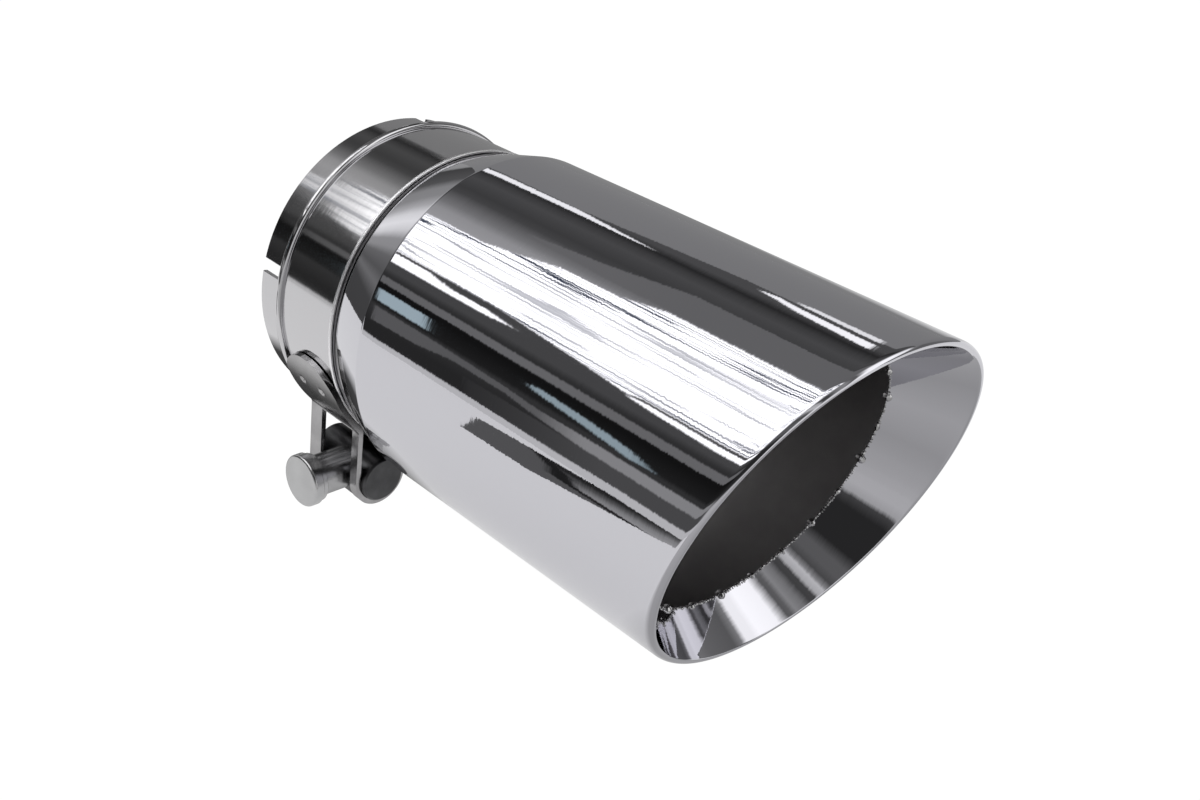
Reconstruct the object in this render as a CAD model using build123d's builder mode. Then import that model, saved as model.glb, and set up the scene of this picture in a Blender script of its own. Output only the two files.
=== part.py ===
"""Slash-cut, double-wall exhaust tip with a slotted inlet and a bolted band clamp.

Millimetres. +X runs along the tube from the inlet to the outlet, +Z is up, and the
origin is the centre of the inlet's end. Angles round the tube are measured from +Z
towards +Y. On the clamp's own plane, x runs along the bolt towards the nut and y runs
straight out from the tube's axis.
"""

import os
from math import asin, cos, degrees, radians, sin, sqrt

from build123d import *

# Tail pipe that the inlet slides over
pipe_diameter = 88.9
pipe_clearance = 0.2
pipe_depth = 50.0

# Inlet sleeve, with a step for the inner tube and slots that let it close on the pipe
sleeve_wall = 1.5
sleeve_overlap = 14.0
sleeve_step = 0.6
slot_count = 4
slot_width = 3.8
slot_depth = 30.0
slot_angle = 22.0

# Outer shell: step out from the sleeve, shoulder, slash cut, rolled rim and lip
shell_step = 4.65
shell_wall = 1.5
shoulder_gap = 2.0
shoulder_length = 14.7
shoulder_edge = 0.7
shoulder_round = 4.0
outlet_length = 168.6
cut_angle = 15.4
long_side_angle = 34.4
rim_width = 3.04
rim_fullness = 0.526
lip_depth = 17.0
lip_angle = 12.0
lip_drop = 6.8

# Inner tube, which tapers from the sleeve down to the lip
inner_wall = 1.5
inner_taper = 50.0

# Radial gap left between pieces that are welded or clamped together
seat = 0.15

# Clamp band, with its edges rolled into hems
clamp_angle = -168.6
band_start = 9.7
band_width = 25.4
band_wall = 0.7
band_gap = 26.0
rear_hem = 1.0
front_hem = 0.45

# Straps, each folded round a trunnion and spot-welded to the band
strap_wall = 1.6
strap_width = 23.6
strap_inset = 2.3
strap_bend = 2.4
strap_tab = 25.3
strap_tab_fullness = 0.52
strap_foot = 9.0
window_rear = 0.6
window_front = 1.9
weld_spacing = 9.2
weld_diameter = 4.4
weld_dent = 0.35
weld_inset = 10.0

# Trunnions and the bolt line
trunnion_diameter = 14.5
trunnion_length = 25.8
trunnion_edge = 0.6
trunnion_spread = 53.8
bolt_rise = 4.9
bolt_station = 24.3

# Bolt, spacers, washers and nut
bolt_diameter = 8.0
bolt_clearance = 0.3
bolt_tail = 3.5
bolt_chamfer = 1.0
head_diameter = 16.2
head_thickness = 3.2
head_edge = 0.8
spacer_diameter = 12.6
spacer_reach = 16.1
washer_diameter = 15.0
washer_thickness = 1.6
nut_across_flats = 13.0
nut_thickness = 6.5
nut_chamfer = 0.8
nut_gap = 0.2
thread_clearance = 0.05

os.makedirs("parts", exist_ok=True)


def out_from_axis(angle):
    """Unit vector square to the tube's axis, at an angle from +Z towards +Y."""
    return Vector(0, sin(radians(angle)), cos(radians(angle)))


# Radii and stations along the tube
sleeve_bore = pipe_diameter / 2 + pipe_clearance
sleeve_radius = sleeve_bore + sleeve_wall
inner_radius = sleeve_bore + sleeve_step - seat
inner_bore = inner_radius - inner_wall
shell_radius = sleeve_radius + shell_step
shell_bore = shell_radius - shell_wall
band_bore = sleeve_radius + seat
band_radius = band_bore + band_wall
band_end = band_start + band_width
bolt_height = band_radius + bolt_rise
strap_middle = band_start + strap_inset + strap_width / 2
shoulder_bore = sleeve_radius + seat
shoulder_start = band_end + shoulder_gap
body_start = shoulder_start + shoulder_length
rim_roll = rim_fullness * rim_width
rim_bore = shell_radius - rim_width
lip_bore = rim_bore - lip_drop
taper_start = pipe_depth + sleeve_overlap
taper_end = taper_start + inner_taper
pocket_depth = 2 * rim_roll
past_outlet = outlet_length + 2 * shell_radius

# The slash cut leans towards its long side, and the lip's inner end leans a little less
long_side = out_from_axis(long_side_angle)


def cut_plane(depth, angle=cut_angle):
    """Plane that leans like the slash cut, moved back along the tube by depth."""
    normal = Vector(1, 0, 0) * cos(radians(angle)) - long_side * sin(radians(angle))
    uphill = Vector(1, 0, 0) * sin(radians(angle)) + long_side * cos(radians(angle))
    return Plane(origin=(outlet_length - depth, 0, 0), x_dir=uphill, z_dir=normal)


def cut_ellipse(radius, angle=cut_angle):
    """Section of a round tube on a leaning plane."""
    return Ellipse(radius / cos(radians(angle)), radius)


def lip_radius(depth):
    """Radius of the lip's visible side at a depth behind the rim."""
    return rim_bore - lip_drop * depth / lip_depth


# Hollow of the shell: everything behind the lip
with BuildPart() as shell_hollow:
    with BuildSketch(Plane.XY):
        with BuildLine():
            Polyline(
                (shoulder_start, 0),
                (shoulder_start, shoulder_bore),
                (body_start, shell_bore),
                (past_outlet, shell_bore),
                (past_outlet, 0),
                close=True,
            )
        make_face()
    revolve(axis=Axis.X)
    split(bisect_by=cut_plane(pocket_depth), keep=Keep.BOTTOM)
    with BuildSketch(cut_plane(pocket_depth)):
        cut_ellipse(lip_radius(pocket_depth) + shell_wall)
    with BuildSketch(cut_plane(lip_depth, lip_angle)):
        cut_ellipse(lip_bore + shell_wall, lip_angle)
    loft(ruled=True, mode=Mode.SUBTRACT)

# Outer shell: one sheet that runs over the rim and back inside as the lip
with BuildPart() as outer_shell:
    with BuildSketch(Plane.XY) as shell_outline:
        with BuildLine():
            Polyline(
                (shoulder_start, 0),
                (shoulder_start, shoulder_bore + shoulder_edge),
                (body_start, shell_radius),
                (past_outlet, shell_radius),
                (past_outlet, 0),
                close=True,
            )
        make_face()
        shoulder_corner = shell_outline.vertices().sort_by_distance((body_start, shell_radius))[0]
        fillet(shoulder_corner, radius=shoulder_round)
    revolve(axis=Axis.X)
    split(bisect_by=cut_plane(0), keep=Keep.BOTTOM)
    add(shell_hollow.part, mode=Mode.SUBTRACT)
    with BuildSketch(cut_plane(0)):
        cut_ellipse(rim_bore)
    with BuildSketch(cut_plane(lip_depth, lip_angle)):
        cut_ellipse(lip_bore, lip_angle)
    loft(ruled=True, mode=Mode.SUBTRACT)
    rim_face = outer_shell.faces().sort_by(Axis((0, 0, 0), cut_plane(0).z_dir))[-1]
    fillet(rim_face.edges(), radius=rim_roll)

# Inner tube: starts where the tail pipe stops and ends on the lip
with BuildPart() as inner_tube:
    with BuildSketch(Plane.XY):
        with BuildLine():
            Polyline(
                (pipe_depth + seat, inner_bore),
                (pipe_depth + seat, inner_radius),
                (taper_start, inner_radius),
                (taper_end, lip_bore + inner_wall),
                (past_outlet, lip_bore + inner_wall),
                (past_outlet, lip_bore),
                (taper_end, lip_bore),
                (taper_start, inner_bore),
                close=True,
            )
        make_face()
    revolve(axis=Axis.X)
    split(bisect_by=cut_plane(lip_depth + seat, lip_angle), keep=Keep.BOTTOM)

# Inlet sleeve: a bore for the pipe, a wider one round the inner tube, and the slots
with BuildPart() as inlet_sleeve:
    with BuildSketch(Plane.YZ):
        Circle(sleeve_radius)
        Circle(sleeve_bore, mode=Mode.SUBTRACT)
    extrude(amount=pipe_depth + sleeve_overlap)
    with BuildSketch(Plane.YZ.offset(pipe_depth)):
        Circle(sleeve_bore + sleeve_step)
    extrude(amount=sleeve_overlap, mode=Mode.SUBTRACT)
    for slot in range(slot_count):
        slot_side = out_from_axis(slot_angle + 360 / slot_count * slot)
        with BuildSketch(Plane((0, 0, 0), x_dir=(1, 0, 0), z_dir=slot_side)):
            SlotCenterPoint((0, 0), (slot_depth - slot_width / 2, 0), slot_width)
        extrude(amount=sleeve_radius + sleeve_wall, mode=Mode.SUBTRACT)

# The clamp's planes: through the straps, through the bolt, and square to the bolt
clamp_out = out_from_axis(clamp_angle)
clamp_along = out_from_axis(clamp_angle - 90)
strap_plane = Plane((strap_middle, 0, 0), x_dir=clamp_along, z_dir=(-1, 0, 0))
clamp_plane = Plane((bolt_station, 0, 0), x_dir=clamp_along, z_dir=(-1, 0, 0))
bolt_plane = Plane(clamp_plane.from_local_coords((0, bolt_height, 0)), x_dir=(1, 0, 0), z_dir=clamp_along)
bolt_axis = Axis(bolt_plane.origin, clamp_along)

# Clamp band, open under the bolt
with BuildPart() as clamp_band:
    with BuildSketch(Plane.XY):
        with Locations((band_start + rear_hem, band_bore)):
            Rectangle(band_width - rear_hem - front_hem, band_wall, align=(Align.MIN, Align.MIN))
        with Locations((band_start + rear_hem, band_bore + rear_hem)):
            Circle(rear_hem)
        with Locations((band_end - front_hem, band_bore + front_hem)):
            Circle(front_hem)
    revolve(axis=Axis.X)
    with BuildSketch(clamp_plane):
        with Locations((0, band_radius)):
            Rectangle(band_gap, band_radius)
    extrude(amount=2 * band_width, both=True, mode=Mode.SUBTRACT)

# Strap path: tab on the band, leg out, half turn round the trunnion, leg in, foot
trunnion_radius = trunnion_diameter / 2
trunnion_place = trunnion_spread / 2
strap_radius = band_bore + 2 * front_hem + seat + strap_wall / 2
wrap_radius = trunnion_radius + seat + strap_wall / 2
tab_angle = degrees(strap_tab / strap_radius)
foot_angle = degrees(strap_foot / strap_radius)
outer_leg = trunnion_place + wrap_radius
outer_root = sqrt(strap_radius**2 - outer_leg**2)
outer_angle = degrees(asin(outer_root / strap_radius))
inner_leg = trunnion_place - wrap_radius
inner_root = sqrt(strap_radius**2 - inner_leg**2)
inner_angle = degrees(asin(inner_root / strap_radius))
window_width = spacer_diameter + window_rear + window_front
window_top = bolt_height + spacer_diameter / 2 + bolt_clearance
outer_window = outer_root + strap_bend
bolt_window = bolt_diameter + 2 * window_rear
tab_round = strap_tab_fullness * strap_width
round_angle = outer_angle - tab_angle + degrees(tab_round / strap_radius)
tab_out = clamp_along * cos(radians(round_angle)) + clamp_out * sin(radians(round_angle))
tab_plane = Plane(strap_plane.origin + tab_out * strap_radius, x_dir=(1, 0, 0), z_dir=tab_out)
weld_angle = outer_angle - tab_angle + degrees(weld_inset / strap_radius)
weld_ball = (weld_diameter**2 / 4 + weld_dent**2) / (2 * weld_dent)
weld_reach = strap_radius + strap_wall / 2 + weld_ball - weld_dent
weld_out = Vector(cos(radians(weld_angle)), sin(radians(weld_angle)), 0) * weld_reach
weld_places = [
    strap_plane.from_local_coords(weld_out + Vector(0, 0, side * weld_spacing / 2)) for side in (-1, 1)
]

# Strap at the nut's end
with BuildPart() as nut_strap:
    with BuildSketch(strap_plane):
        with BuildLine() as strap_path:
            CenterArc((0, 0), strap_radius, outer_angle - tab_angle, tab_angle)
            Line((outer_leg, outer_root), (outer_leg, bolt_height))
            CenterArc((trunnion_place, bolt_height), wrap_radius, 0, 180)
            Line((inner_leg, bolt_height), (inner_leg, inner_root))
            CenterArc((0, 0), strap_radius, inner_angle, -foot_angle)
            outer_corner = strap_path.vertices().sort_by_distance((outer_leg, outer_root))[0]
            inner_corner = strap_path.vertices().sort_by_distance((inner_leg, inner_root))[0]
            fillet([outer_corner, inner_corner], radius=strap_bend)
        trace(line_width=strap_wall)
    extrude(amount=strap_width / 2, both=True)
    with BuildSketch(clamp_plane.offset(-spacer_diameter / 2 - window_front)):
        with Locations((trunnion_place, outer_window)):
            Rectangle(2 * wrap_radius, window_top - outer_window, align=(Align.MIN, Align.MIN))
    extrude(amount=window_width, mode=Mode.SUBTRACT)
    with BuildSketch(clamp_plane):
        with Locations((trunnion_place, bolt_height)):
            Rectangle(2 * wrap_radius, bolt_window, align=(Align.MAX, Align.CENTER))
    extrude(amount=bolt_window / 2, both=True, mode=Mode.SUBTRACT)
    with BuildSketch(tab_plane):
        Rectangle(2 * strap_width, strap_width, align=(Align.CENTER, Align.MAX))
        Circle(tab_round, mode=Mode.SUBTRACT)
    extrude(amount=strap_width / 2, both=True, mode=Mode.SUBTRACT)
    with Locations(*weld_places):
        Sphere(weld_ball, mode=Mode.SUBTRACT)

# Trunnion at the nut's end
with BuildPart() as nut_trunnion:
    with BuildSketch(clamp_plane):
        with Locations((trunnion_place, bolt_height)):
            Circle(trunnion_radius)
    extrude(amount=trunnion_length / 2, both=True)
    chamfer(nut_trunnion.edges().filter_by(GeomType.CIRCLE), length=trunnion_edge)
    with BuildSketch(bolt_plane):
        Circle(bolt_diameter / 2 + bolt_clearance)
    extrude(amount=trunnion_spread, mode=Mode.SUBTRACT)

# Spacer between trunnion and washer, coped to the trunnion
with BuildPart() as nut_spacer:
    with BuildSketch(bolt_plane.offset(trunnion_place)):
        Circle(spacer_diameter / 2)
        Circle(bolt_diameter / 2 + bolt_clearance, mode=Mode.SUBTRACT)
    extrude(amount=spacer_reach)
    with BuildSketch(clamp_plane):
        with Locations((trunnion_place, bolt_height)):
            Circle(trunnion_radius + seat)
    extrude(amount=spacer_diameter, both=True, mode=Mode.SUBTRACT)

# Washer under the nut
washer_seat = trunnion_place + spacer_reach
with BuildPart() as nut_washer:
    with BuildSketch(bolt_plane.offset(washer_seat)):
        Circle(washer_diameter / 2)
        Circle(bolt_diameter / 2 + bolt_clearance, mode=Mode.SUBTRACT)
    extrude(amount=washer_thickness)

# The bolt-head end mirrors the nut's end
clamp_mirror = Plane(clamp_plane.origin, z_dir=clamp_along)
with BuildPart() as head_strap:
    mirror(nut_strap.part, about=clamp_mirror)
with BuildPart() as head_trunnion:
    mirror(nut_trunnion.part, about=clamp_mirror)
with BuildPart() as head_spacer:
    mirror(nut_spacer.part, about=clamp_mirror)
with BuildPart() as head_washer:
    mirror(nut_washer.part, about=clamp_mirror)

# Round-headed bolt
nut_seat = washer_seat + washer_thickness + nut_gap
bolt_start = -washer_seat - washer_thickness
bolt_length = nut_seat + nut_thickness + bolt_tail - bolt_start
with BuildPart() as clamp_bolt:
    with BuildSketch(bolt_plane.offset(bolt_start - head_thickness)):
        Circle(head_diameter / 2)
    extrude(amount=head_thickness)
    fillet(clamp_bolt.edges().sort_by(bolt_axis)[0], radius=head_edge)
    with BuildSketch(bolt_plane.offset(bolt_start)):
        Circle(bolt_diameter / 2)
    extrude(amount=bolt_length)
    chamfer(clamp_bolt.edges().sort_by(bolt_axis)[-1], length=bolt_chamfer)

# Hexagon nut
with BuildPart() as clamp_nut:
    with BuildSketch(bolt_plane.offset(nut_seat)):
        Circle(nut_across_flats / 2 / cos(radians(30)))
    extrude(amount=nut_thickness)
    chamfer(clamp_nut.edges().filter_by(GeomType.CIRCLE), length=nut_chamfer, angle=30)
    with BuildSketch(bolt_plane.offset(nut_seat)):
        RegularPolygon(nut_across_flats / 2, 6, major_radius=False)
        Circle(bolt_diameter / 2 + thread_clearance, mode=Mode.SUBTRACT)
    extrude(amount=nut_thickness, mode=Mode.INTERSECT)

# Names and files
pieces = {
    "outer_shell": outer_shell,
    "inner_tube": inner_tube,
    "inlet_sleeve": inlet_sleeve,
    "clamp_band": clamp_band,
    "head_strap": head_strap,
    "nut_strap": nut_strap,
    "head_trunnion": head_trunnion,
    "nut_trunnion": nut_trunnion,
    "head_spacer": head_spacer,
    "nut_spacer": nut_spacer,
    "head_washer": head_washer,
    "nut_washer": nut_washer,
    "clamp_bolt": clamp_bolt,
    "clamp_nut": clamp_nut,
}
for name, piece in pieces.items():
    piece.part.label = name
    export_step(piece.part, f"parts/{name}.step")
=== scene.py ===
# %% [markdown]
# # A polished, slash-cut exhaust tip
# The solids of the tip come from the CAD model, in metres and already in their places. This lesson gives
# each of them a smooth skin and a finish, adds the small details that CAD leaves out, and lights the whole
# like a studio product. The pieces keep the CAD's frame: +X runs from inlet to outlet and +Z is up.

# %% Load the frame
import math

import bmesh
import bpy
from mathutils import Matrix, Vector


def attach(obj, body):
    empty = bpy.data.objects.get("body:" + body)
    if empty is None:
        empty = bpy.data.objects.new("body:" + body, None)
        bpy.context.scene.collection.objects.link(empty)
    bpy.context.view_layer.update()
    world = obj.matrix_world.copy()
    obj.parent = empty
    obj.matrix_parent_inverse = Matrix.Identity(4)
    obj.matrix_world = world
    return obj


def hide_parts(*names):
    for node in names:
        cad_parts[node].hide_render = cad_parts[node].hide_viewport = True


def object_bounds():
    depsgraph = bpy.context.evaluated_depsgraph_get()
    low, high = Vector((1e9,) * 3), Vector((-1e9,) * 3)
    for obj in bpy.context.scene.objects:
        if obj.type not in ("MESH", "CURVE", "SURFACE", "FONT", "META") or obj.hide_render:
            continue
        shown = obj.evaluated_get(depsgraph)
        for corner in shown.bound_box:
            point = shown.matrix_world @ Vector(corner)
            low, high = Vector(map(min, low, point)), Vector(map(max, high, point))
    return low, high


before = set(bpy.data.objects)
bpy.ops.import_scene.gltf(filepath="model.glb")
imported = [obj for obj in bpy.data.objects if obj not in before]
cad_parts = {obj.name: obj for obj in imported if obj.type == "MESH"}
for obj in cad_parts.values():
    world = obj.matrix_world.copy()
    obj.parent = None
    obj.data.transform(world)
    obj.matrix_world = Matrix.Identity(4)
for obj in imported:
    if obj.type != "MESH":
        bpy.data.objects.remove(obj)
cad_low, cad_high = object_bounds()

print("CAD nodes:", ", ".join(sorted(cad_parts)))

# %% [markdown]
# The sizes are the CAD model's own, written once here in metres. Angles round the tube start at the top and
# grow towards the far side. A mirror finish shows every error in a shape, so the large pieces are drawn
# again from these sizes with many even faces, instead of smoothing the CAD's long triangles.

# %% Sizes
MM = 0.001
OUTLET = 168.6 * MM
CUT = math.radians(15.4)
LONG_SIDE = math.radians(34.4)
SHELL = 50.8 * MM
WALL = 1.5 * MM
SHOULDER_START = 37.1 * MM
BODY_START = 51.8 * MM
SLEEVE = 46.15 * MM
SLEEVE_BORE = 44.65 * MM
LINER = 45.1 * MM
LINER_WALL = 1.5 * MM
SEAT = 0.15 * MM
LIP_BORE = 40.96 * MM
LIP_DEPTH = 17.0 * MM
LIP_CUT = math.radians(12)
CLAMP_ANGLE = math.radians(-168.6)


def round_tube(angle, radius, x=0.0):
    """A point at a radius from the tube's axis and at an angle from the top."""
    return Vector((x, radius * math.sin(angle), radius * math.cos(angle)))


CLAMP_OUT = round_tube(CLAMP_ANGLE, 1.0)
CLAMP_ALONG = Vector((0.0, -CLAMP_OUT.z, CLAMP_OUT.y))
BOLT_STATION = 24.3 * MM
BOLT_HEIGHT = 51.9 * MM
for title, direction in (("clamp points", CLAMP_OUT), ("bolt runs", CLAMP_ALONG)):
    print(title, [round(value, 3) for value in direction])

# %% [markdown]
# ## Finishes
# A finish is a tree of nodes. A few helpers come first: they add a node with its settings, feed its inputs
# with numbers or with other nodes' outputs, and stand for the Math and Vector Math nodes.

# %% Helpers for nodes


def feed(tree, node, values):
    """Gives inputs, by name or number, either another node's output or a fixed value."""
    for socket, value in values.items():
        if isinstance(value, bpy.types.NodeSocket):
            tree.links.new(value, node.inputs[socket])
        else:
            node.inputs[socket].default_value = value


def add_node(tree, kind, values=None, **settings):
    """A new node with its settings, and with its inputs fed."""
    node = tree.nodes.new(kind)
    for title, setting in settings.items():
        setattr(node, title, setting)
    feed(tree, node, values or {})
    return node


def result_of(tree, operation, *terms, clamp=False):
    """The output of a Math node that works on numbers and other nodes' outputs."""
    node = add_node(tree, "ShaderNodeMath", dict(enumerate(terms)), operation=operation, use_clamp=clamp)
    return node.outputs["Value"]


def vector_step(tree, operation, values):
    return add_node(tree, "ShaderNodeVectorMath", values, operation=operation).outputs


# %% [markdown]
# An effect that several materials share is a shader group with named inputs. Both kinds of surface on the
# tip are layers of noise, which make small heights and vary the roughness. The next helpers start a group,
# lay a noise in it, and join the layers.

# %% Helpers for shader groups


def new_group(name, inputs, outputs):
    """A shader group with a Vector input, number inputs with their defaults, and outputs."""
    group = bpy.data.node_groups.new(name, "ShaderNodeTree")
    group.interface.new_socket(name="Vector", in_out="INPUT", socket_type="NodeSocketVector")
    for title, default in inputs.items():
        socket = group.interface.new_socket(name=title, in_out="INPUT", socket_type="NodeSocketFloat")
        socket.default_value = default
    for title in outputs:
        kind = "NodeSocketVector" if title == "Normal" else "NodeSocketFloat"
        group.interface.new_socket(name=title, in_out="OUTPUT", socket_type=kind)
    add_node(group, "NodeGroupInput", name="given")
    add_node(group, "NodeGroupOutput", name="result")
    return group


def noise_layer(tree, stretch, scale, detail):
    """Noise on the group's own vector, stretched along the axes."""
    vector = tree.nodes["given"].outputs["Vector"]
    stretched = add_node(tree, "ShaderNodeMapping", {"Vector": vector, "Scale": stretch}).outputs["Vector"]
    values = {"Vector": stretched, "Scale": scale, "Detail": detail}
    return add_node(tree, "ShaderNodeTexNoise", values).outputs["Fac"]


def times(tree, noise, amount):
    """A noise, centred on zero, times one of the group's inputs."""
    centred = result_of(tree, "SUBTRACT", noise, 0.5)
    return result_of(tree, "MULTIPLY", centred, tree.nodes["given"].outputs[amount])


def relief_and_roughness(tree, fine, broad, dull):
    """Height from two noises and roughness from a third, each with the name of its amount."""
    height = result_of(tree, "ADD", times(tree, *fine), times(tree, *broad))
    plain = tree.nodes["given"].outputs["Roughness"]
    rough = result_of(tree, "ADD", times(tree, *dull), plain, clamp=True)
    feed(tree, tree.nodes["result"], {"Height": height, "Roughness": rough})


# %% [markdown]
# Polished tube is never a perfect mirror: turning it against a wheel leaves very fine rings, the drawn
# sheet is faintly wavy, and handling leaves haze. One shader group makes these marks for every polished
# piece. It gives out a height for a Bump node, a roughness, and a normal that tips to and fro from ring to
# ring, which combs the edges of reflections into fine teeth. Each material chooses its own amounts. A
# picture of scratches could be painted instead, but noise on the piece's own coordinates has no seams and
# stays fine at any distance.

# %% Shader group: polishing marks
EVEN = (1.0, 1.0, 1.0)
polish = new_group(
    "polishing_marks",
    {"Rings": 1.0, "Waves": 1.0, "Comb": 0.05, "Roughness": 0.05, "Haze": 0.03},
    ["Height", "Roughness", "Normal"],
)
rings = noise_layer(polish, (6.0, 1.0, 1.0), 170.0, 2.0)
waves = noise_layer(polish, (0.35, 1.0, 1.0), 55.0, 1.0)
haze = noise_layer(polish, EVEN, 38.0, 5.0)
relief_and_roughness(polish, (rings, "Rings"), (waves, "Waves"), (haze, "Haze"))
comb = times(polish, noise_layer(polish, (24.0, 1.0, 1.0), 110.0, 2.0), "Comb")
surface = add_node(polish, "ShaderNodeNewGeometry").outputs["Normal"]
round_the_tube = vector_step(polish, "CROSS_PRODUCT", {0: (1.0, 0.0, 0.0), 1: surface})["Vector"]
sideways = vector_step(polish, "SCALE", {0: round_the_tube, "Scale": comb})["Vector"]
tipped = vector_step(polish, "ADD", {0: surface, 1: sideways})["Vector"]
unit = vector_step(polish, "NORMALIZE", {0: tipped})["Vector"]
feed(polish, polish.nodes["result"], {"Normal": unit})
print("group", polish.name, len(polish.nodes), "nodes")

# %% [markdown]
# The stamped and turned hardware is satin instead. Its group lays a fine grain over the metal, with broader
# cloudy patches where plating and handling differ. Tone is a mask that a material uses to mix two greys. A
# picture of metal could do this too, but a grain has no pattern that would need one.

# %% Shader group: satin grain
satin = new_group(
    "satin_grain",
    {"Grain": 1.0, "Patches": 1.0, "Roughness": 0.35, "Spread": 0.2},
    ["Height", "Roughness", "Tone"],
)
grain = noise_layer(satin, EVEN, 1900.0, 3.0)
patches = noise_layer(satin, EVEN, 160.0, 4.0)
relief_and_roughness(satin, (grain, "Grain"), (patches, "Patches"), (patches, "Spread"))
tone = add_node(satin, "ShaderNodeMapRange", {"Value": patches, "From Min": 0.3, "From Max": 0.7})
feed(satin, satin.nodes["result"], {"Tone": tone.outputs["Result"]})
print("group", satin.name, len(satin.nodes), "nodes")

# %% [markdown]
# Where one sheet slides into another, the narrow gap between them lies in shade, which is painted dark into
# the colour. A third group gives a mask for such a seam: 1 at one place along the tube, fading to 0 on both
# sides. With Opening above 0, the strip of painted shade grows wider on one side of the tube, near the clamp,
# where the gap lies in deep shadow. The mask could be painted on the mesh, but a rule along the tube stays in
# place when the mesh changes.

# %% Shader group: seam shade
OPEN_ANGLE = math.radians(-112)
OPEN_FROM = 38.0 * MM
SEAM_CORE = 0.5
seam_shade = new_group("seam_shade", {"Place": 0.036, "Width": 0.002, "Opening": 0.0}, ["Mask"])
given = seam_shade.nodes["given"].outputs
station = add_node(seam_shade, "ShaderNodeSeparateXYZ", {"Vector": given["Vector"]}).outputs["X"]
apart = result_of(seam_shade, "ABSOLUTE", result_of(seam_shade, "SUBTRACT", station, given["Place"]))
open_side = {0: given["Vector"], 1: round_tube(OPEN_ANGLE, 1.0)}
towards = vector_step(seam_shade, "DOT_PRODUCT", open_side)["Value"]
past = result_of(seam_shade, "MAXIMUM", result_of(seam_shade, "SUBTRACT", towards, OPEN_FROM), 0.0)
wide = result_of(seam_shade, "MULTIPLY_ADD", past, given["Opening"], given["Width"])
core = result_of(seam_shade, "MULTIPLY", wide, SEAM_CORE)
fall = {"Value": apart, "From Min": core, "From Max": wide, "To Min": 1.0, "To Max": 0.0}
near = add_node(seam_shade, "ShaderNodeMapRange", fall, interpolation_type="SMOOTHSTEP")
feed(seam_shade, seam_shade.nodes["result"], {"Mask": near.outputs["Result"]})
print("group", seam_shade.name, len(seam_shade.nodes), "nodes")

# %% [markdown]
# A material holds its own Principled BSDF. Values that are the same all over, such as Metallic, are set on
# the shader's sockets, and only what changes over the surface comes from a group. These helpers start a
# metal, place the seam group in it, and mix two colours.

# %% Helpers for metals
BUMP = 1.0 * MM


def start_material(name, group, amounts):
    """A metal whose bump and roughness come from a group."""
    material = bpy.data.materials.new(name)
    material.use_nodes = True
    tree = material.node_tree
    where = add_node(tree, "ShaderNodeTexCoord", name="where").outputs["Object"]
    marks = add_node(tree, "ShaderNodeGroup", {"Vector": where, **amounts}, node_tree=group).outputs
    relief = {"Strength": 1.0, "Distance": BUMP, "Height": marks["Height"]}
    if "Normal" in marks:
        relief["Normal"] = marks["Normal"]
    bump = add_node(tree, "ShaderNodeBump", relief).outputs["Normal"]
    finish = {"Metallic": 1.0, "Roughness": marks["Roughness"], "Normal": bump}
    feed(tree, tree.nodes["Principled BSDF"], finish)
    return material, tree, marks


def seam_mask(tree, place, width, opening=0.0):
    """The seam group's mask in a material, on the piece's own coordinates."""
    where = tree.nodes["where"].outputs["Object"]
    values = {"Vector": where, "Place": place, "Width": width, "Opening": opening}
    return add_node(tree, "ShaderNodeGroup", values, node_tree=seam_shade).outputs["Mask"]


def mix_colors(tree, first, second, share):
    """Mixes two colours by a share and gives the result to the shader."""
    values = {"A": (*first, 1.0), "B": (*second, 1.0), "Factor": share}
    mix = add_node(tree, "ShaderNodeMix", values, data_type="RGBA")
    feed(tree, tree.nodes["Principled BSDF"], {"Base Color": mix.outputs["Result"]})


# %% [markdown]
# Shell, sleeve and band are polished sheet. The seam group paints shade into them, dark in the gap between
# band and shell. On the band it also makes the front hem rougher and paler, a painted highlight along it. All
# three could share one material, but each has its own polish, so one function makes three.

# %% Polished metals
# The gap's darkness is painted shade in the base colour.
GAP_PLACE = SHOULDER_START - 0.5 * MM
GAP_WIDTH = 1.2 * MM
GAP_PAINTED_SHADE = (0.015, 0.015, 0.016)
# The hem's paler colour is a painted highlight, and the hem is also rougher.
HEM_PLACE = 34.75 * MM
HEM_WIDTH = 0.85 * MM
HEM_HIGHLIGHT_COLOR = (0.93, 0.925, 0.94, 1.0)
HEM_ROUGHNESS = 0.42
BRIGHT = (0.58, 0.575, 0.59)


def polished_metal(name, color, rings, waves, comb, roughness, haze, opening=0.0):
    """Mirror metal with painted shade: dark in the gap between band and shell."""
    amounts = {"Rings": rings, "Waves": waves, "Comb": comb, "Roughness": roughness, "Haze": haze}
    material, tree, _ = start_material(name, polish, amounts)
    mix_colors(tree, color, GAP_PAINTED_SHADE, seam_mask(tree, GAP_PLACE, GAP_WIDTH, opening))
    return material


def hem_with_painted_highlight(material):
    """The band's front hem is rougher, and its paler colour is a painted highlight, so it shows as a light
    line.
    """
    tree = material.node_tree
    shader = tree.nodes["Principled BSDF"]
    hem = seam_mask(tree, HEM_PLACE, HEM_WIDTH)
    for socket, kind, hem_value in (("Base Color", "RGBA", HEM_HIGHLIGHT_COLOR), ("Roughness", "FLOAT", HEM_ROUGHNESS)):
        values = {"A": shader.inputs[socket].links[0].from_socket, "B": hem_value, "Factor": hem}
        mix = add_node(tree, "ShaderNodeMix", values, data_type=kind)
        feed(tree, shader, {socket: mix.outputs["Result"]})


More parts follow.
